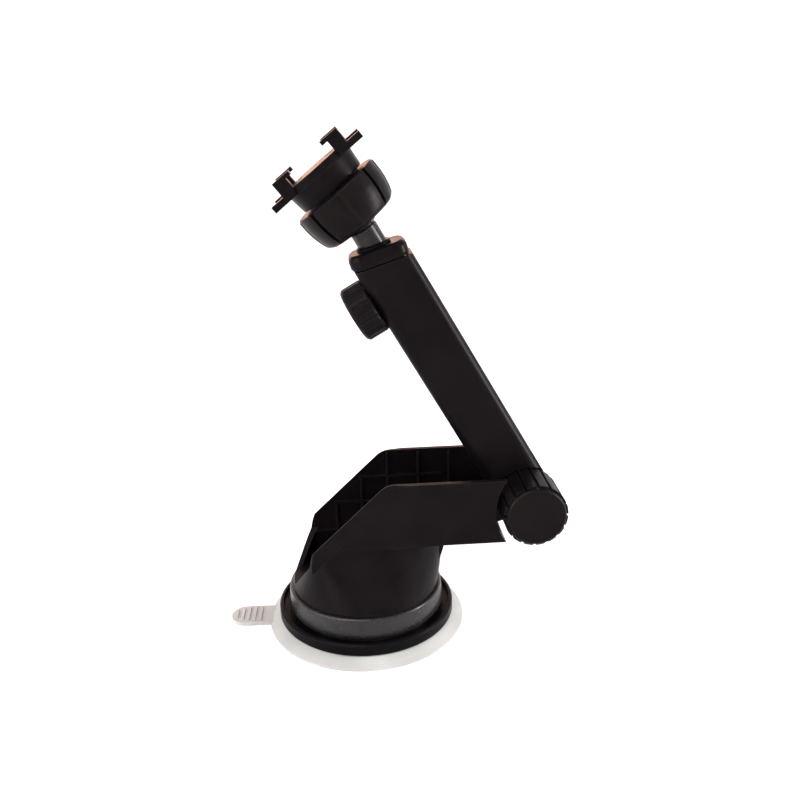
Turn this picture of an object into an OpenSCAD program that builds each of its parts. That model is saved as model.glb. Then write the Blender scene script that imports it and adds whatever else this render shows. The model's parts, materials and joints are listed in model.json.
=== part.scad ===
// Telescopic suction mount with a four-claw quick-release plate.
// Millimetres. Origin: centre of the suction pad's sticking face. +Z up, +X towards the elbow.

/* [Suction base] */
// Outer radius of the soft suction pad
pad_r = 40.8; // [38:0.2:44]
// Thickness of the pad under the rim ring
pad_t = 3.6; // [3.4:0.1:4.4]
// Outer radius of the rim ring
ring_r = 36.4; // [35.8:0.2:37.4]
// Height of the top of the rim ring
ring_top = 8.7; // [8:0.1:10]
// Radius of the satin band at its foot
band_r = 32.3; // [32:0.1:32.8]
// Height of the top of the satin band
band_top = 17; // [16:0.5:18]

/* [Housing] */
// Radius of the tower at its foot
tower_r = 30.3; // [30:0.1:31]
// Half width over the two channel walls
wall_y = 19.45; // [19:0.05:21]
// Thickness of the channel walls
wall_t = 2; // [1.6:0.1:2.4]
// Height of the top edge of the walls
wall_top = 67.5; // [66:0.1:69]
// Height of the bottom edge of the overhanging walls
wall_bottom = 41; // [40.5:0.1:41.4]

/* [Elbow and arm] */
// Distance of the elbow axis from the pad's axis
elbow_x = 66.5; // [64:0.2:68]
// Height of the elbow axis
elbow_z = 53.9; // [53.5:0.1:55]
// Lean of the arm from the vertical, back over the base
arm_lean = 30; // [10:1:40]
// Width of the arm tube
arm_w = 22.2; // [20:0.2:23]
// Depth of the arm tube along the elbow axis
arm_d = 18; // [16:0.5:18]
// Offset of the arm's centre plane away from the elbow knob
arm_y = 1.8; // [0:0.1:2]
// Distance of the tube's slanted end from the elbow axis
arm_len = 111.8; // [100:0.2:111.8]
// Largest radius of the elbow knob
knob_r = 12.7; // [11:0.1:12.8]

/* [Ball head] */
// Radius of the ball
ball_r = 8.5; // [8:0.5:9]
// Distance of the ball's centre from the elbow axis
ball_at = 133; // [131:0.5:135]
// Lean of the head from the vertical
head_lean = 38.9; // [20:0.1:46]
// Largest radius of the nut over its lobes
nut_r = 17.2; // [16:0.1:18]
// Radius of the claw plate's round flange
plate_r = 14.8; // [14:0.1:16]

/* [Hidden] */
$fn = 96;

gap = 0.3;              // free gap between pieces that pass each other
fit = 0.05;             // radial clearance of a running fit
past = 1;               // how far a cutter runs past what it cuts

// Pad and its socket for the stem's foot
hub_r = 14;
socket_r = 11.4;
socket_floor = 1.9;
socket_top = 6.2;
hub_top = 7.2;
tab_half = 6.4;
tab_end = 57.4;

// Base plate, bushing and cavity
plate_top = 7.2;
screw_circle = 24;
bush_top = 20.3;
floor_under = 17;
stem_r = 5;
pin_z = 30;
pin_r = 2;
deck_top = 42.5;
deck_from = 16;
deck_to = 50;
web_y = 3.2;
web_from = 44;
web_top = 52;
lug_r = 10;
bolt_r = 3;

// Slope, bend and flare of the housing
slope_foot = [-19.9, 40.1];
bend = [9, wall_top];
bend_round = 8;
shoulder_x = 6;
nose_x = 27.3;
end_arc_r = 22.3;
end_arc = [73.7, 54.3];
far_end = 60;
bevel_w = 5.8;
bevel_d = 1.6;

// Arm
arm_corner = 4;
tube_wall = 1.7;
ear_in = 3.9;
ear_out = 6.5;
ear_r = 11.1;
arc_r = 13.4;
rod_from = 27;
rod_top = 112.2;
cap_t = 5.7;
cap_tilt = 12;
neck_r = 5.4;
lock_at = 99.2;
lock_r = 11;
lock_face = 20.4;
knob_face = 26.8;
knob_back = 6.8;

// Head, measured along its own axis from the ball's centre
nut_from = -5.6;
nut_to = 10;
thread_r = 11.4;
liner_t = 0.75;
boss_from = 11;
boss_to = 18;
plate_to = 20.9;
claw_in = 9.6;
claw_out = 14.7;
claw_y = 10;
claw_half = 2;
claw_top = 26.3;
lip_t = 1.6;
lip_in = 7.3;
tab_to = 20.2;

ink = [0.11, 0.10, 0.10];
coal = [0.15, 0.15, 0.15];
satin = [0.27, 0.27, 0.28];
milk = [0.93, 0.92, 0.90];
steel = [0.72, 0.73, 0.75];
brass = [0.78, 0.62, 0.30];

// ---------- helpers ----------

module at_elbow() { translate([elbow_x, arm_y, elbow_z]) rotate([0, -arm_lean, 0]) children(); }

module at_ball() {
    translate([elbow_x - ball_at * sin(arm_lean), arm_y, elbow_z + ball_at * cos(arm_lean)])
        rotate([0, -head_lean, 0]) children();
}

module at_ball_on_arm() { at_elbow() translate([0, 0, ball_at]) children(); }

// Cylinder along Y from y0 to y1, round the Y axis
module bar_y(r, y0, y1) { translate([0, y1, 0]) rotate([90, 0, 0]) cylinder(r = r, h = y1 - y0); }

// Cylinder along -X from distance d0 to d1
module bar_back(r, d0, d1) { rotate([0, -90, 0]) translate([0, 0, d0]) cylinder(r = r, h = d1 - d0); }

module block(x0, x1, y0, y1, z0, z1) { translate([x0, y0, z0]) cube([x1 - x0, y1 - y0, z1 - z0]); }

// Box of rounded section, w along X and d along Y, from z0 to z1
module round_box(w, d, r, z0, z1) {
    translate([0, 0, z0]) linear_extrude(z1 - z0) round_rect(w, d, r);
}

module round_rect(w, d, r) {
    union() {
        square([w - 2 * r, d], center = true);
        square([w, d - 2 * r], center = true);
        for (x = [-1, 1], y = [-1, 1]) translate([x * (w / 2 - r), y * (d / 2 - r)]) circle(r, $fn = 48);
    }
}

// Ring about Z
module ring(r_out, r_in, z0, z1) {
    difference() {
        translate([0, 0, z0]) cylinder(r = r_out, h = z1 - z0);
        translate([0, 0, z0 - past]) cylinder(r = r_in, h = z1 - z0 + 2 * past);
    }
}

module hex_along_y(across, y0, y1) {
    translate([0, y1, 0]) rotate([90, 0, 0]) cylinder(r = across / sqrt(3), h = y1 - y0, $fn = 6);
}

// ---------- suction base ----------

module suction_pad() {
    color(milk) union() {
        rotate_extrude() polygon([
            [0, 0], [pad_r, 0], [pad_r, 0.8], [pad_r - 2.4, 2.3], [ring_r - 0.4, pad_t - 0.2],
            [ring_r - 0.8, pad_t], [hub_r + 0.8, pad_t], [hub_r, hub_top],
            [stem_r + 1.2, hub_top], [stem_r + 1.2, socket_top], [socket_r, socket_top],
            [socket_r, socket_floor], [0, socket_floor]
        ]);
        rotate([0, 0, -2]) pull_tab();
    }
}

module pull_tab() {
    tab_t = 1.6;
    rib_first = 45;
    rib_step = 2.5;
    translate([-tab_end + tab_half, 0, 0]) cylinder(r = tab_half, h = tab_t, $fn = 64);
    block(-tab_end + tab_half, -pad_r + 2, -tab_half, tab_half, 0, tab_t);
    for (i = [0 : 4])
        block(-rib_first - i * rib_step - 0.6, -rib_first - i * rib_step + 0.6,
            -tab_half + 1.2 + i * i * 0.14, tab_half - 1.2 - i * i * 0.14, tab_t - 0.2, tab_t + 0.5);
}

module base_ring() {
    rim_in = 34.7;
    color(ink) difference() {
        rotate_extrude() polygon([
            [hub_r + 1.6, pad_t], [ring_r - 0.6, pad_t], [ring_r, pad_t + 0.6],
            [ring_r, ring_top - 0.7], [ring_r - 0.7, ring_top], [rim_in + 0.2, ring_top],
            [rim_in, ring_top - 0.2], [rim_in, plate_top], [hub_r + 1.6, plate_top]
        ]);
        on_screws() {
            translate([0, 0, pad_t - past]) cylinder(r = 1.7, h = 6);
            translate([0, 0, pad_t - past]) cylinder(r = 3, h = past + 1.6);
        }
    }
}

module on_screws() { for (a = [45 : 90 : 315]) rotate([0, 0, a]) translate([screw_circle, 0, 0]) children(); }

module band_collar() {
    band_in = 29.9;
    color(satin) rotate_extrude() polygon([
        [band_in, plate_top], [band_r - 1.2, plate_top], [band_r - 1.2, ring_top], [band_r, ring_top + 0.5],
        [band_r - 0.7, band_top - 0.5], [band_r - 1.2, band_top], [band_in, band_top]
    ]);
}

// ---------- housing ----------

// Tower that runs from a circle at its foot to a long rounded section under the walls
module tower(inset) {
    hull() {
        translate([0, 0, band_top]) cylinder(r = tower_r - inset, h = 1, $fn = 72);
        translate([0, 0, wall_bottom - 1]) linear_extrude(1) {
            translate([shoulder_x, 0]) scale([nose_x / wall_y, 1]) circle(wall_y - inset, $fn = 96);
            translate([slope_foot[0] + inset, -wall_y + inset])
                square([shoulder_x - slope_foot[0], 2 * (wall_y - inset)]);
        }
    }
}

// Outline of the walls, seen from the side
module wall_outline(end_x) {
    run = bend - slope_foot;
    tilt = atan2(run[1], run[0]);
    setback = bend_round * tan(tilt / 2);
    centre = [bend[0] + setback, wall_top - bend_round];
    polygon(concat(
        [[shoulder_x, wall_bottom - 1], slope_foot - [0.3, 1.2], slope_foot],
        [for (i = [0 : 12]) centre + bend_round * [cos(90 + tilt - tilt * i / 12), sin(90 + tilt - tilt * i / 12)]],
        [[end_x, wall_top], [end_x, wall_bottom], [shoulder_x + 24, wall_bottom]]
    ));
}

// Solid between two planes across Y, drawn in X and Z
module slab(y0, y1) { translate([0, y1, 0]) rotate([90, 0, 0]) linear_extrude(y1 - y0) children(); }

// Curved gusset under the overhanging deck
module gusset() {
    slab(-8, 8) polygon([
        [22, 28], [30, 28], [31.2, 31], [32.2, 34.5], [33.6, 38], [35, wall_bottom + 0.5], [22, wall_bottom + 0.5]
    ]);
}

// Long bevel that follows the slope on the outside of a wall
module slope_bevel() {
    run = bend - slope_foot;
    tilt = atan2(run[1], run[0]);
    for (side = [-1, 1])
        translate([slope_foot[0], side * wall_y, slope_foot[1]]) rotate([0, -tilt, 0])
            translate([-12, 0, -bevel_w]) rotate([side * atan(bevel_d / bevel_w), 0, 0])
                translate([0, side > 0 ? 0 : -6, 0]) cube([norm(run) + 18, 6, 14]);
}

// Stiffening ribs inside the walls: ledges as [x0, x1, z], uprights as [x, z0, z1]
module wall_ribs() {
    rib = 0.8;
    rib_d = 1;
    inner = wall_y - wall_t;
    for (side = [-1, 1]) {
        y0 = side > 0 ? inner - rib_d : -inner - 0.2;
        for (l = [[-1, 34, 56], [-12, 16, 44.7], [-21.5, 16, 31.7]])
            block(l[0], l[1], y0, y0 + rib_d + 0.2, l[2] - rib / 2, l[2] + rib / 2);
        for (u = [[-11, 31.7, 45], [0, 31.7, 56], [11.2, 31.7, 66.4], [24.4, deck_top - 0.2, 66.4], [37.6, deck_top - 0.2, 66.4]])
            block(u[0] - rib / 2, u[0] + rib / 2, y0, y0 + rib_d + 0.2, u[1], u[2]);
    }
}

module housing() {
    inner = wall_y - wall_t;
    foot_r = 29.7;
    color(ink) difference() {
        union() {
            difference() {
                union() {
                    tower(0);
                    // the wall beside the elbow knob ends in an arc round it, the other one runs on
                    slab(-wall_y, 0) difference() {
                        wall_outline(elbow_x);
                        translate(end_arc) circle(end_arc_r, $fn = 128);
                    }
                    slab(0, wall_y) wall_outline(far_end);
                    gusset();
                }
                slope_bevel();
                slab(-25, 25) polygon([
                    slope_foot - 0.5 * (bend - slope_foot), slope_foot + 1.5 * (bend - slope_foot), [-50, 95]
                ]);
                // open channel between the walls
                slab(-inner, inner) polygon([
                    [-40, deck_top], [deck_from, deck_top], [90, deck_top], [90, 90], [-40, 90]
                ]);
                // cavity of the tower, open upwards as far as the deck
                intersection() {
                    tower(wall_t);
                    block(-40, 40, -inner, inner, bush_top, deck_top);
                }
                block(slope_foot[0] + wall_t, deck_from, -inner, inner, wall_bottom - 3, deck_top + past);
                // opening that narrows downwards at the back of the tower
                translate([-40, 0, 0]) rotate([90, 0, 90]) linear_extrude(25) polygon([
                    [-inner, 80], [-inner, 33], [-8, 21.5], [-6, 19.6], [6, 19.6], [8, 21.5], [inner, 33], [inner, 80]
                ]);
            }
            // foot inside the satin band, with its floor
            ring(foot_r, foot_r - 2.2, plate_top, band_top);
            difference() {
                translate([0, 0, floor_under]) cylinder(r = tower_r - 2, h = bush_top - floor_under);
                block(-40, -foot_r + 1, -7, 7, 19.6, 22);
            }
            ring(foot_r, foot_r - 2.2, band_top - past, floor_under + past);
            translate([0, 0, 12.5]) cylinder(r = 6.2, h = 6);
            on_screws() translate([0, 0, plate_top]) cylinder(r = 4, h = 12);
            // tongue of the elbow
            slab(arm_y - web_y, arm_y + web_y) polygon([
                [web_from, deck_top - 1], [web_from, web_top], [elbow_x, web_top], [elbow_x, elbow_z - lug_r + 0.4],
                [deck_to + 6, wall_bottom], [deck_to - 8, wall_bottom]
            ]);
            translate([elbow_x, arm_y, elbow_z]) bar_y(lug_r, -web_y, web_y);
            wall_ribs();
        }
        translate([0, 0, 12]) cylinder(r = stem_r + fit, h = 10);
        on_screws() translate([0, 0, plate_top - past]) cylinder(r = 1.48, h = 10);
        translate([elbow_x, arm_y, elbow_z]) bar_y(bolt_r + fit, -web_y - past, web_y + past);
    }
}

module housing_screws() {
    color(steel) on_screws() difference() {
        union() {
            translate([0, 0, pad_t]) cylinder(r = 2.8, h = 1.5);
            translate([0, 0, pad_t]) cylinder(r = 1.45, h = 11);
        }
        for (a = [0, 90]) rotate([0, 0, a]) translate([-1.6, -0.3, pad_t - past]) cube([3.2, 0.6, past + 0.8]);
    }
}

// ---------- lock of the cup ----------

module cup_stem() {
    eye_r = 5.2;
    color(coal) difference() {
        union() {
            translate([0, 0, socket_top - 2.05]) cylinder(r = socket_r - 0.4, h = 2);
            translate([0, 0, socket_top - 1]) cylinder(r = stem_r, h = 20);
            translate([0, 0, 9.5]) cylinder(r = 8.6, h = 1);
            intersection() {
                translate([0, 0, 22]) cylinder(r = stem_r, h = 8);
                block(-stem_r, stem_r, -3.9, 3.9, 22, pin_z);
            }
            translate([0, 0, pin_z]) bar_y(eye_r, -3.9, 3.9);
        }
        for (side = [0, 180]) rotate([0, 0, side]) block(-6, 6, 3.9, 9, bush_top - 0.3, 30);
        translate([0, 0, pin_z]) bar_y(pin_r + 0.01, -9, 9);
    }
}

// Coil spring: rings of eight points along the coil
module lift_spring() {
    turns = 3.5;
    wire = 0.65;
    coil_r = 7.4;
    steps = 84;
    sides = 8;
    low = 10.5 + wire;
    high = floor_under - wire - 0.1;
    function at(i) = let (a = 360 * turns * i / steps) [
        for (k = [0 : sides - 1]) let (b = 360 * k / sides) [
            (coil_r + wire * cos(b)) * cos(a), (coil_r + wire * cos(b)) * sin(a),
            low + (high - low) * i / steps + wire * sin(b)
        ]
    ];
    points = [for (i = [0 : steps]) each at(i)];
    faces = concat(
        [[for (k = [0 : sides - 1]) k]],
        [for (i = [0 : steps - 1], k = [0 : sides - 1]) let (n = (k + 1) % sides)
            [i * sides + k, (i + 1) * sides + k, (i + 1) * sides + n, i * sides + n]],
        [[for (k = [sides - 1 : -1 : 0]) steps * sides + k]]
    );
    color(steel) polyhedron(points = points, faces = faces);
}

module cam_pin() {
    color(steel) translate([0, 0, pin_z]) union() {
        bar_y(pin_r, -8, 8);
        bar_y(pin_r + 0.8, -8.8, -7.8);
        bar_y(pin_r + 0.8, 7.8, 8.8);
    }
}

module lock_lever() {
    cam_lean = 35;
    cam_off = 2.43;
    cam_r = pin_z - bush_top - cam_off * cos(cam_lean) - 0.25;
    cheek_in = 4.3;
    cheek_out = 7.5;
    tip = [-20, 24.6];
    color(ink) difference() {
        union() {
            for (side = [-1, 1]) {
                translate([-cam_off * sin(cam_lean), 0, pin_z - cam_off * cos(cam_lean)])
                    bar_y(cam_r, side > 0 ? cheek_in : -cheek_out, side > 0 ? cheek_out : -cheek_in);
            }
            slab(-cheek_out, cheek_out) hull() {
                translate([-9.6, 28]) circle(2, $fn = 32);
                translate(tip) circle(1.6, $fn = 32);
            }
            for (i = [0 : 3])
                translate([tip[0] + 0.6 + 1.9 * i, 0, tip[1] + 1.75 + 0.6 * i]) bar_y(0.6, -cheek_out + 1, cheek_out - 1);
        }
        translate([0, 0, pin_z]) bar_y(pin_r + fit, -9, 9);
        translate([0, 0, pin_z]) bar_y(6, -cheek_in, cheek_in);
    }
}

// ---------- arm ----------

module arm_tube() {
    in_w = arm_w - 2 * tube_wall;
    in_d = arm_d - 2 * tube_wall;
    color(ink) at_elbow() difference() {
        union() {
            difference() {
                round_box(arm_w, arm_d, arm_corner, 8, arm_len + 4);
                on_slant(arm_len) block(-30, 30, -30, 30, 0, 30);
                bar_y(arc_r, -arm_d, arm_d);
            }
            bar_y(ear_r, -ear_out, ear_out);
            block(-ear_r, ear_r, -ear_out, ear_out, 0, arc_r + 2);
            translate([0, 0, lock_at]) bar_back(5.8, arm_w / 2 - 1, arm_w / 2 + 2.4);
        }
        // fork over the housing's tongue
        bar_y(lug_r + 1, -ear_in, ear_in);
        block(-30, 0, -ear_in, ear_in, -20, 24);
        block(-30, 30, -ear_in, ear_in, -20, 4);
        bar_y(bolt_r + 0.02, -12, 12);
        // bore for the inner rod
        round_box(in_w, in_d, arm_corner - tube_wall, rod_from - 0.6, arm_len + 8);
        translate([0, 0, lock_at]) {
            bar_back(3.45, arm_w / 2 - 4, arm_w / 2 + 0.2);
            bar_back(2.6, 5, 20);
            rotate([0, -90, 0]) translate([0, 0, arm_w / 2 + 0.2]) cylinder(r = 4.05, h = 5, $fn = 6);
        }
    }
}

module elbow_bolt() {
    color(steel) at_elbow() union() {
        bar_y(bolt_r, -21.8, ear_out + 1.2);
        hex_along_y(10, ear_out + 0.9, ear_out + 4.6);
        bar_y(5.6, ear_out, ear_out + 0.9);
    }
}

module bolt_cap() {
    color(ink) at_elbow() difference() {
        union() {
            bar_y(9.4, ear_out + 0.05, ear_out + 5.2);
            bar_y(8.4, ear_out + 5.1, ear_out + 6);
        }
        bar_y(6.1, ear_out - past, ear_out + 4.9);
    }
}

module friction_washers() {
    color(steel) at_elbow() for (side = [0, 180]) rotate([0, 0, side]) difference() {
        bar_y(8.5, web_y + fit, ear_in - fit);
        bar_y(bolt_r + 0.03, 0, 9);
    }
}

// Round knob about Y whose grip has wide pads between narrow grooves
module elbow_knob() {
    pads = 16;
    face_r = 11.7;
    grip_to = 25.2;
    color(ink) at_elbow() difference() {
        union() {
            difference() {
                bar_y(knob_r, -grip_to, -knob_back - 1);
                for (i = [0 : pads - 1]) rotate([0, (i + 0.4) * 360 / pads, 0])
                    block(knob_r - 1.1, knob_r + 2, -grip_to - past, -knob_back, -0.6, 0.6);
            }
            bar_y(knob_r - 1, -grip_to, -knob_back);
            rotate([90, 0, 0]) rotate_extrude() polygon([
                [0, grip_to - 0.4], [face_r, grip_to - 0.4], [face_r, knob_face - 0.5], [face_r - 0.5, knob_face], [0, knob_face]
            ]);
        }
        bar_y(4.5, -22.4, 0);
    }
}

module knob_insert() {
    color(brass) at_elbow() difference() {
        bar_y(4.5, -22.2, -knob_back - 0.3);
        bar_y(bolt_r + fit, -23, 0);
    }
}

module lock_nut() {
    color(brass) at_elbow() translate([0, 0, lock_at]) rotate([0, -90, 0]) difference() {
        translate([0, 0, arm_w / 2 + 0.25]) cylinder(r = 4, h = 2.1, $fn = 6);
        translate([0, 0, arm_w / 2 - past]) cylinder(r = 2.5 + fit, h = 6);
    }
}

module pressure_pad() {
    color(coal) at_elbow() translate([0, 0, lock_at]) bar_back(3.4, arm_w / 2 - tube_wall - 0.2, arm_w / 2 - 0.2);
}

module lock_knob() {
    flutes = 22;
    back = arm_w / 2 + 0.3;
    color(ink) at_elbow() translate([0, 0, lock_at]) rotate([0, -90, 0]) difference() {
        rotate_extrude() polygon([
            [0, arm_w / 2 + 2.7], [6.3, arm_w / 2 + 2.7], [6.3, back], [lock_r - 0.4, back],
            [lock_r, back + 0.6], [lock_r, lock_face - 0.9], [lock_r - 0.9, lock_face], [0, lock_face]
        ]);
        for (i = [0 : flutes - 1]) rotate([0, 0, i * 360 / flutes])
            translate([lock_r + 0.25, 0, back - past]) cylinder(r = 0.8, h = lock_face - back - 0.4, $fn = 16);
        translate([0, 0, 5]) cylinder(r = 2.5, h = lock_face - 7);
    }
}

module lock_screw() {
    color(steel) at_elbow() translate([0, 0, lock_at]) bar_back(2.5, arm_w / 2 - 0.15, lock_face - 2);
}

// ---------- inner rod ----------

module inner_rod() {
    w = arm_w - 2 * tube_wall - 2 * gap;
    d = arm_d - 2 * tube_wall - 2 * gap;
    color(coal) at_elbow() difference() {
        round_box(w, d, arm_corner - tube_wall - gap / 2, rod_from + 3, rod_top + 4);
        on_slant(rod_top) block(-30, 30, -30, 30, 0, 30);
        round_box(w - 4.4, d - 4.4, 1, rod_from + 2, rod_top - 4);
        translate([0, 0, rod_top - 5]) cylinder(r = 1.6, h = 8);
        for (side = [-1, 1]) block(-3.4, 3.4, side * (d / 2 + 0.3) - 1, side * (d / 2 + 0.3) + 1, rod_from + 9, rod_top - 7);
    }
}

module rod_stop() {
    w = arm_w - 2 * tube_wall - 2 * gap;
    d = arm_d - 2 * tube_wall - 2 * gap;
    color(coal) at_elbow() union() {
        round_box(w, d, arm_corner - tube_wall - gap / 2, rod_from, rod_from + 3);
        round_box(w - 4.6, d - 4.6, 1, rod_from + 2.5, rod_from + 8);
    }
}

// Everything under children() sits on the slanted plane at distance d from the elbow axis
module on_slant(d) { translate([0, 0, d]) rotate([0, cap_tilt, 0]) children(); }

module rod_cap() {
    color(ink) at_elbow() difference() {
        on_slant(rod_top) translate([-0.7, 0, 0]) hull() {
            round_box(arm_w - 1, arm_d - 0.4, 4.6, 0, 0.5);
            round_box(arm_w + 0.4, arm_d + 0.2, 5, 1.2, cap_t - 2);
            round_box(arm_w - 0.7, arm_d - 0.9, 4.6, 0, cap_t - 0.7);
            round_box(arm_w - 2.8, arm_d - 2.8, 3.6, 0, cap_t);
        }
        translate([0, 0, rod_top - 5]) cylinder(r = neck_r + fit, h = cap_t + 10);
    }
}

module ball_stem() {
    neck_top = ball_at - 7.6;
    color(coal) at_elbow() difference() {
        union() {
            translate([0, 0, rod_top + 1.3]) cylinder(r = neck_r, h = neck_top - rod_top - 1.3);
            translate([0, 0, neck_top]) cylinder(r1 = neck_r, r2 = 4.4, h = 2);
            translate([0, 0, ball_at]) sphere(ball_r);
        }
        translate([0, 0, rod_top]) cylinder(r = 1.48, h = 11);
    }
}

module stem_collar() {
    color(ink) at_elbow() difference() {
        on_slant(rod_top) translate([-cap_t * tan(cap_tilt), 0, cap_t]) rotate_extrude() polygon([
            [0, 0], [neck_r + 1.3, 0], [neck_r + 1.3, 0.7], [neck_r + 0.8, 1.3], [0, 1.3]
        ]);
        translate([0, 0, rod_top]) cylinder(r = neck_r + fit, h = 20);
    }
}

module stem_screw() {
    color(steel) at_elbow() difference() {
        union() {
            translate([0, 0, rod_top - 6]) cylinder(r = 2.8, h = 2);
            translate([0, 0, rod_top - 5]) cylinder(r = 1.45, h = 14);
        }
        for (a = [0, 90]) rotate([0, 0, a]) translate([-1.6, -0.3, rod_top - 7]) cube([3.2, 0.6, 1.9]);
    }
}

// ---------- ball head ----------

// Thin cup round the ball, open towards the neck; it turns with the neck's axis
module grip_liner() {
    mouth = -4.9;
    color(coal) at_ball_on_arm() difference() {
        sphere(ball_r + fit + liner_t);
        sphere(ball_r + fit);
        translate([0, 0, mouth - 10]) cylinder(r = 20, h = 10);
    }
}

module socket() {
    fingers_from = -5;
    hollow = ball_r + 2 * fit + liner_t;
    color(ink) at_ball() difference() {
        union() {
            translate([0, 0, fingers_from]) cylinder(r = thread_r, h = boss_from - fingers_from + 1);
            rotate_extrude() polygon([
                [0, boss_from], [13.2, boss_from], [13.4, boss_from + 0.3], [14.1, boss_to - 0.3], [14.1, boss_to], [0, boss_to]
            ]);
        }
        sphere(hollow);
        // room for the neck as the head tilts
        translate([0, 0, fingers_from - past]) cylinder(r = 7.95, h = past + 0.4);
        // slots that let the grip fingers close
        for (a = [0 : 45 : 135]) rotate([0, 0, a]) block(-20, 20, -0.6, 0.6, fingers_from - past, 3);
        for (a = [0, 180]) rotate([0, 0, a]) translate([7, 0, boss_to - 6]) cylinder(r = 1.03, h = 10);
    }
}

// Nut with four broad lobes, each with a fine rib down its middle
module ball_nut() {
    turn = 4.5;
    groove_r = 14.4;
    color(ink) at_ball() difference() {
        union() {
            rotate_extrude() polygon([
                [8, nut_from], [11.6, nut_from + 0.1], [13.9, nut_from + 0.4], [14.8, nut_from + 1], [15.3, nut_from + 1.8],
                [16.1, nut_from + 4], [16.8, nut_from + 7], [nut_r, nut_from + 10.4], [nut_r, nut_to - 0.4],
                [nut_r - 0.4, nut_to], [8, nut_to]
            ]);
            for (a = [0 : 90 : 270]) rotate([0, 0, a + turn - 1.3]) rotate_extrude(angle = 2.6) polygon([
                [12, nut_from + 0.8], [15, nut_from + 1], [15.7, nut_from + 1.8], [16.5, nut_from + 4],
                [17.2, nut_from + 7], [nut_r + 0.4, nut_from + 10.4], [nut_r + 0.4, nut_to - 0.8], [12, nut_to - 0.8]
            ]);
        }
        translate([0, 0, nut_from + 0.5]) cylinder(r = thread_r + fit, h = 30);
        translate([0, 0, nut_from - past]) cylinder(r1 = 9.8, r2 = 8.2, h = past + 0.7);
        for (a = [45 : 90 : 315]) rotate([0, 0, a + turn]) block(groove_r, 20, -0.8, 0.8, nut_from - past, nut_to + past);
    }
}

module claw_plate() {
    corner = 1.2;
    color(ink) at_ball() difference() {
        union() {
            translate([0, 0, boss_to]) cylinder(r = plate_r, h = plate_to - boss_to);
            for (side = [-1, 1]) {
                translate([side * (claw_in + claw_out) / 2, 0, 0])
                    round_box(claw_out - claw_in, 2 * (claw_y + claw_half), corner, boss_to, plate_to);
                for (y = [-claw_y, claw_y]) claw(side, y);
            }
        }
        for (a = [0, 180]) rotate([0, 0, a]) translate([7, 0, 0]) {
            translate([0, 0, boss_to - past]) cylinder(r = 1.2, h = 6);
            translate([0, 0, plate_to - 1.5]) cylinder(r = 2.1, h = 3);
        }
    }
}

// One hook: a post, a lip that points inwards, and a stub that points outwards
module claw(side, y) {
    mirror([side > 0 ? 0 : 1, 0, 0]) {
        block(claw_in, claw_out, y - claw_half, y + claw_half, plate_to - 0.5, claw_top);
        block(lip_in, claw_out, y - claw_half, y + claw_half, claw_top - lip_t, claw_top);
        block(claw_out - 1, tab_to, y - claw_half, y + claw_half, boss_to, plate_to - 0.4);
    }
}

module plate_screws() {
    color(steel) at_ball() for (a = [0, 180]) rotate([0, 0, a]) translate([7, 0, 0]) difference() {
        union() {
            translate([0, 0, plate_to - 1.45]) cylinder(r = 2, h = 1.3);
            translate([0, 0, boss_to - 5.8]) cylinder(r = 1, h = 8);
        }
        for (b = [0, 90]) rotate([0, 0, b]) translate([-1.2, -0.25, plate_to - 0.9]) cube([2.4, 0.5, 2]);
    }
}

suction_pad();
base_ring();
band_collar();
housing();
housing_screws();
cup_stem();
lift_spring();
cam_pin();
lock_lever();
arm_tube();
elbow_bolt();
bolt_cap();
friction_washers();
lock_nut();
pressure_pad();
elbow_knob();
knob_insert();
lock_knob();
lock_screw();
inner_rod();
rod_stop();
rod_cap();
ball_stem();
stem_collar();
stem_screw();
grip_liner();
ball_nut();
socket();
claw_plate();
plate_screws();
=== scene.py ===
"""Looks of the dashboard suction mount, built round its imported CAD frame. Metres."""

import json
import math

import bmesh
import bpy
from mathutils import Matrix, Vector


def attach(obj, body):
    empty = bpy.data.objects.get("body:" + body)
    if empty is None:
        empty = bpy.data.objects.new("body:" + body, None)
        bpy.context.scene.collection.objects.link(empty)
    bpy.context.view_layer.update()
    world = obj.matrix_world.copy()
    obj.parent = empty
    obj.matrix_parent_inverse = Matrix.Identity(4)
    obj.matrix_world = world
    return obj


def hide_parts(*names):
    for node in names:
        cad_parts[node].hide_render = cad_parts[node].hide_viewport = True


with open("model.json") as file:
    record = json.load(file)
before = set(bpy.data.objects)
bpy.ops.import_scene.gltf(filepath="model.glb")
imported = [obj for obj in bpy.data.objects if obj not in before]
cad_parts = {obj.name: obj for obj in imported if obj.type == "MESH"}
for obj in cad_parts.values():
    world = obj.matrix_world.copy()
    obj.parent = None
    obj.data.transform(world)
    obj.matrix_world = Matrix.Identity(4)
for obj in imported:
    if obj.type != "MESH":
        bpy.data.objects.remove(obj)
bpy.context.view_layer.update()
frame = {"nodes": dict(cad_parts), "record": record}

MM = 0.001
NODES = frame["nodes"]
SLOT_OF = {s["node"]: s["material_slot"] for s in frame["record"]["subparts"]}
BODY_OF = {n: b for b, ns in frame["record"]["behaviour"]["bodies"].items() for n in ns}

# ---------------------------------------------------------------- materials

EDGE_REACH = 0.6 * MM  # how far in from an edge the wear reaches
EDGE_STARTS, EDGE_FULL = 0.995, 0.90  # agreement of the two normals where wear starts and is full
EDGE_GAIN, EDGE_LIFT = 2.2, 0.006  # how much lighter than the plastic a worn edge is
EDGE_WEAR = 0.5  # share of that lightening which shows


def new_material(name, **sockets):
    """A Principled material whose uniform values sit on the shader's own sockets."""
    mat = bpy.data.materials.new(name)
    mat.use_nodes = True
    shader = mat.node_tree.nodes["Principled BSDF"]
    for key, value in sockets.items():
        socket = shader.inputs[key.replace("_", " ")]
        socket.default_value = (*value, 1.0) if isinstance(value, tuple) else value
    return mat, mat.node_tree.nodes, mat.node_tree.links, shader


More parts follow.
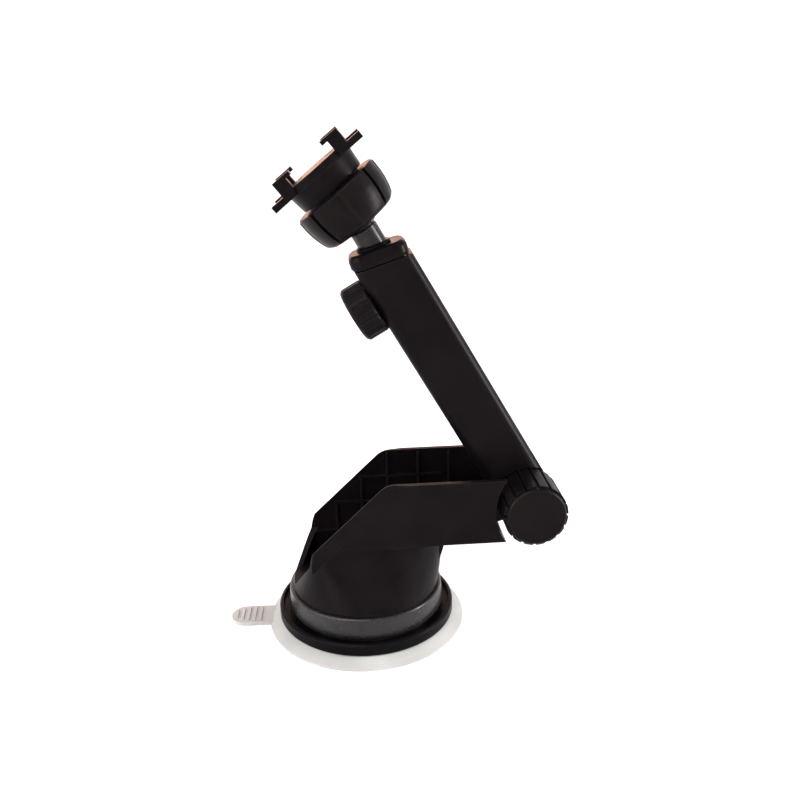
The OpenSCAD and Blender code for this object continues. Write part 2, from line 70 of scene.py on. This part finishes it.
def object_coordinates(nodes, links, scale=(1, 1, 1)):
    where = nodes.new("ShaderNodeTexCoord")
    mapping = nodes.new("ShaderNodeMapping")
    mapping.inputs["Scale"].default_value = scale
    links.new(where.outputs["Object"], mapping.inputs["Vector"])
    return mapping.outputs["Vector"]


def noise(nodes, links, vector, scale, detail=3.0, rough=0.5):
    tex = nodes.new("ShaderNodeTexNoise")
    tex.inputs["Scale"].default_value = scale
    tex.inputs["Detail"].default_value = detail
    tex.inputs["Roughness"].default_value = rough
    links.new(vector, tex.inputs["Vector"])
    return tex.outputs["Fac"]


def ramp(nodes, links, factor, low, high, at=(0.35, 0.65)):
    """Runs from colour low to colour high as the factor crosses the two places in at."""
    node = nodes.new("ShaderNodeValToRGB")
    for element, place, colour in zip(node.color_ramp.elements, at, (low, high)):
        element.position = place
        element.color = (*colour, 1.0)
    links.new(factor, node.inputs["Fac"])
    return node.outputs["Color"]


def spread(nodes, links, factor, low, high):
    node = nodes.new("ShaderNodeMapRange")
    node.inputs["From Min"].default_value = 0.3
    node.inputs["From Max"].default_value = 0.7
    node.inputs["To Min"].default_value = low
    node.inputs["To Max"].default_value = high
    links.new(factor, node.inputs["Value"])
    return node.outputs["Result"]


def bump(nodes, links, shader, heights):
    """Chains one Bump node for each (height, strength, distance)."""
    normal = None
    for height, strength, distance in heights:
        node = nodes.new("ShaderNodeBump")
        node.inputs["Strength"].default_value = strength
        node.inputs["Distance"].default_value = distance
        links.new(height, node.inputs["Height"])
        if normal:
            links.new(normal, node.inputs["Normal"])
        normal = node.outputs["Normal"]
    links.new(normal, shader.inputs["Normal"])


def worn_edge(nodes, links, base, light, amount):
    """Lightens the colour along edges, as handling polishes them.

    An edge is where a rounded normal turns away from the face's own."""
    shape = nodes.new("ShaderNodeNewGeometry")
    rounded = nodes.new("ShaderNodeBevel")
    rounded.samples = 4
    rounded.inputs["Radius"].default_value = EDGE_REACH
    agree = nodes.new("ShaderNodeVectorMath")
    agree.operation = "DOT_PRODUCT"
    links.new(shape.outputs["Normal"], agree.inputs[0])
    links.new(rounded.outputs["Normal"], agree.inputs[1])
    edge = nodes.new("ShaderNodeMapRange")
    edge.inputs["From Min"].default_value = EDGE_STARTS
    edge.inputs["From Max"].default_value = EDGE_FULL
    edge.inputs["To Max"].default_value = amount
    links.new(agree.outputs["Value"], edge.inputs["Value"])
    mix = nodes.new("ShaderNodeMix")
    mix.data_type = "RGBA"
    links.new(edge.outputs["Result"], mix.inputs["Factor"])
    links.new(base, mix.inputs["A"])
    mix.inputs["B"].default_value = (*light, 1.0)
    return mix.outputs["Result"]


def moulded_plastic(name, low, high, gloss, level, grain=0.01 * MM, grain_scale=5200):
    """Moulded plastic: faint cloudy colour, uneven gloss, fine spark-eroded grain and worn edges.

    gloss is the middle roughness, level the strength of the sheen and grain the grain's height."""
    mat, nodes, links, shader = new_material(
        name, Specular_IOR_Level=level, Specular_Tint=(1.0, 0.88, 0.9), IOR=1.5
    )
    vector = object_coordinates(nodes, links)
    cloud = noise(nodes, links, vector, 60, 4)
    colour = ramp(nodes, links, cloud, low, high)
    edge = tuple(EDGE_GAIN * c + EDGE_LIFT for c in high)
    links.new(worn_edge(nodes, links, colour, edge, EDGE_WEAR), shader.inputs["Base Color"])
    smear = noise(nodes, links, vector, 130, 5, 0.6)
    links.new(spread(nodes, links, smear, gloss - 0.05, gloss + 0.06), shader.inputs["Roughness"])
    fine = noise(nodes, links, vector, grain_scale, 2)
    flow = noise(nodes, links, vector, 90, 1)
    bump(nodes, links, shader, [(fine, 0.5, grain), (flow, 0.25, 0.04 * MM)])
    return mat


def gel():
    """Milky, slightly cloudy silicone that lets some light through."""
    mat, nodes, links, shader = new_material(
        "gel", Specular_IOR_Level=0.35, IOR=1.41, Subsurface_Weight=0.25, Subsurface_Scale=0.004,
        Transmission_Weight=0.15,
    )
    vector = object_coordinates(nodes, links)
    cloud = noise(nodes, links, vector, 45, 3)
    colour = ramp(nodes, links, cloud, (0.31, 0.304, 0.295), (0.38, 0.373, 0.362))
    links.new(colour, shader.inputs["Base Color"])
    smear = noise(nodes, links, vector, 220, 4)
    links.new(spread(nodes, links, smear, 0.34, 0.5), shader.inputs["Roughness"])
    bump(nodes, links, shader, [(noise(nodes, links, vector, 400, 2), 0.2, 0.03 * MM)])
    return mat


def turned_metal(name, low, high, gloss):
    """Metal with fine turning lines and a little tarnish."""
    mat, nodes, links, shader = new_material(name, Metallic=1.0)
    vector = object_coordinates(nodes, links)
    tarnish = noise(nodes, links, vector, 300, 4)
    links.new(ramp(nodes, links, tarnish, low, high), shader.inputs["Base Color"])
    links.new(spread(nodes, links, tarnish, gloss, gloss + 0.15), shader.inputs["Roughness"])
    lines = noise(nodes, links, object_coordinates(nodes, links, (1, 1, 12)), 900, 2)
    bump(nodes, links, shader, [(lines, 0.25, 0.01 * MM)])
    return mat


MATERIALS = {
    "gel": gel(),
    "black_plastic": moulded_plastic(
        "black_plastic", (0.0018, 0.0013, 0.0015), (0.0030, 0.0022, 0.0024), 0.36, 0.045
    ),
    "rim_plastic": moulded_plastic(
        "rim_plastic", (0.0012, 0.0010, 0.0011), (0.0022, 0.0018, 0.0020), 0.33, 0.035
    ),
    "band_plastic": moulded_plastic(
        "band_plastic", (0.0050, 0.0050, 0.0053), (0.0075, 0.0075, 0.0078), 0.28, 0.26,
        grain=0.015 * MM, grain_scale=3400,
    ),
    "grip_plastic": moulded_plastic(
        "grip_plastic", (0.0019, 0.0014, 0.0015), (0.0030, 0.0023, 0.0024), 0.38, 0.05,
        grain=0.02 * MM, grain_scale=3000,
    ),
    "inner_plastic": moulded_plastic(
        "inner_plastic", (0.005, 0.0048, 0.005), (0.0075, 0.007, 0.0072), 0.26, 0.2, grain=0.006 * MM
    ),
    "steel": turned_metal("steel", (0.44, 0.44, 0.45), (0.62, 0.62, 0.63), 0.28),
    "brass": turned_metal("brass", (0.55, 0.40, 0.17), (0.72, 0.55, 0.26), 0.25),
}

for node_name, node_object in NODES.items():
    node_object.data.materials.clear()
    node_object.data.materials.append(MATERIALS[SLOT_OF[node_name]])

# ---------------------------------------------------------------- pieces

WELD = 0.002 * MM  # corners closer than this are one corner
FLAT_UNDER = math.radians(0.3)  # faces this near to one plane are joined into one
ROUNDED_OVER = math.radians(32)  # edges sharper than this get a radius


def finish_piece(piece, node):
    """Dresses a piece, sets it on its node's body and hides the node it stands for."""
    piece.data.materials.clear()
    piece.data.materials.append(MATERIALS[SLOT_OF[node]])
    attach(piece, BODY_OF[node])
    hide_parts(node)


def object_from(bm, name):
    mesh = bpy.data.meshes.new(name)
    bm.to_mesh(mesh)
    bm.free()
    piece = bpy.data.objects.new(name, mesh)
    bpy.context.scene.collection.objects.link(piece)
    return piece


def apply_modifiers(piece):
    depsgraph = bpy.context.evaluated_depsgraph_get()
    mesh = bpy.data.meshes.new_from_object(piece.evaluated_get(depsgraph))
    piece.modifiers.clear()
    piece.data = mesh


def softened(node, width, crease):
    """The node's own shape with its sharp edges rounded to the radius a mould leaves.

    Edges sharper than crease degrees stay visible as lines; those over ROUNDED_OVER get the radius."""
    bm = bmesh.new()
    bm.from_mesh(NODES[node].data)
    bmesh.ops.remove_doubles(bm, verts=bm.verts, dist=WELD)
    bmesh.ops.dissolve_limit(bm, angle_limit=FLAT_UNDER, verts=bm.verts, edges=bm.edges)
    bmesh.ops.recalc_face_normals(bm, faces=bm.faces)
    piece = object_from(bm, node + "_finished")
    smooth(piece, crease)
    rounding = piece.modifiers.new("edge radius", "BEVEL")
    rounding.width = width
    rounding.segments = 2
    rounding.limit_method = "ANGLE"
    rounding.angle_limit = ROUNDED_OVER
    rounding.miter_outer = "MITER_ARC"
    rounding.use_clamp_overlap = True
    rounding.harden_normals = True
    flats = piece.modifiers.new("flat faces stay flat", "WEIGHTED_NORMAL")
    flats.keep_sharp = True
    apply_modifiers(piece)
    finish_piece(piece, node)


def smooth(piece, angle):
    piece.data.shade_smooth()
    piece.data.set_sharp_from_angle(angle=math.radians(angle))


# each node's edge radius in millimetres and the angle in degrees over which its edges stay crisp
EDGES = {
    "housing": (0.35, 12), "arm_tube": (0.4, 12), "rod_cap": (0.3, 25), "claw_plate": (0.25, 14),
    "ball_nut": (0.3, 30), "socket": (0.3, 20), "elbow_knob": (0.35, 14), "lock_knob": (0.15, 20),
    "lock_lever": (0.3, 14), "bolt_cap": (0.4, 14), "base_ring": (0.25, 14), "band_collar": (0.2, 14),
    "stem_collar": (0.2, 14), "suction_pad": (0.25, 14),
}

for node_name, (edge, crease) in EDGES.items():
    softened(node_name, edge * MM, crease)

NODE_CREASE = 20
for node_object in NODES.values():
    smooth(node_object, NODE_CREASE)

# ---------------------------------------------------------------- stage, lights and camera


def stage_bowl():
    """A round pale floor whose edge sweeps up into a wall."""
    inner_r, floor_r, sweep_r, wall_h = 0.4, 1.3, 0.7, 1.6
    turns, steps = 96, 15
    profile = [(inner_r, 0.0), (floor_r, 0.0)]
    profile += [
        (floor_r + sweep_r * math.sin(a), sweep_r * (1 - math.cos(a)))
        for a in [math.radians(90 * i / steps) for i in range(1, steps + 1)]
    ]
    profile.append((floor_r + sweep_r, wall_h))
    bm = bmesh.new()
    around = [math.tau * k / turns for k in range(turns)]
    rings = [[bm.verts.new((r * math.cos(t), r * math.sin(t), z)) for t in around] for r, z in profile]
    centre = bm.verts.new((0, 0, 0))
    for k in range(turns):
        n = (k + 1) % turns
        bm.faces.new((centre, rings[0][k], rings[0][n]))
        for a, b in zip(rings, rings[1:]):
            bm.faces.new((a[k], b[k], b[n], a[n]))
    floor = object_from(bm, "floor")
    smooth(floor, 60)
    mat, nodes, links, shader = new_material("floor", Roughness=0.9, Specular_IOR_Level=0.1)
    vector = object_coordinates(nodes, links)
    paper = noise(nodes, links, vector, 3, 2)
    shade = ramp(nodes, links, paper, (0.90, 0.90, 0.90), (0.92, 0.92, 0.92))
    links.new(shade, shader.inputs["Base Color"])
    floor.data.materials.append(mat)


def area_light(name, at, toward, size, power, colour=(1, 1, 1)):
    """A soft rectangular lamp that the camera doesn't see. Power in watts."""
    light = bpy.data.lights.new(name, "AREA")
    light.shape = "RECTANGLE"
    light.size, light.size_y = size
    light.energy = power
    light.color = colour
    lamp = bpy.data.objects.new(name, light)
    lamp.location = at
    lamp.rotation_euler = (Vector(toward) - Vector(at)).to_track_quat("-Z", "Y").to_euler()
    lamp.visible_camera = False
    bpy.context.scene.collection.objects.link(lamp)


def sky(strength):
    world = bpy.data.worlds.new("studio")
    world.use_nodes = True
    back = world.node_tree.nodes["Background"]
    back.inputs["Color"].default_value = (1, 1, 1, 1)
    back.inputs["Strength"].default_value = strength
    bpy.context.scene.world = world


def camera():
    """The camera, at the height, distance and tilt from which the object is looked at."""
    place = Vector((-7.0, -322.4, 207.6)) * MM
    azimuth, pitch, roll = math.radians(-4.08), math.radians(19.09), math.radians(-1.12)
    level = math.cos(pitch)
    forward = Vector((-math.sin(azimuth) * level, math.cos(azimuth) * level, -math.sin(pitch)))
    right = Vector((math.cos(azimuth), math.sin(azimuth), 0))
    up = right.cross(forward)
    right, up = (
        math.cos(roll) * right + math.sin(roll) * up,
        math.cos(roll) * up - math.sin(roll) * right,
    )
    lens = bpy.data.cameras.new("camera")
    lens.sensor_width = 36
    lens.lens = 39.1
    lens.clip_start = 0.01
    view = bpy.data.objects.new("camera", lens)
    view.matrix_world = Matrix((
        (right.x, up.x, -forward.x, place.x),
        (right.y, up.y, -forward.y, place.y),
        (right.z, up.z, -forward.z, place.z),
        (0, 0, 0, 1),
    ))
    bpy.context.scene.collection.objects.link(view)
    bpy.context.scene.camera = view


# the plain transform keeps the pale background white
bpy.context.scene.view_settings.view_transform = "Standard"
stage_bowl()
sky(0.9)
middle = (0.0, 0.0, 0.1)
area_light("key", (-0.5, -0.7, 1.3), middle, (0.9, 0.9), 16)
area_light("warm back", (-0.15, 1.1, 0.34), (0, 0, 0.15), (0.8, 0.3), 2.6, (1.0, 0.36, 0.16))
area_light("right strip", (0.97, -0.2, 0.25), middle, (0.16, 0.6), 20)
area_light("left strip", (-1.0, -0.45, 0.4), middle, (0.3, 0.4), 9)
area_light("front left", (-0.75, -0.85, 0.2), middle, (0.2, 0.4), 5)
camera()
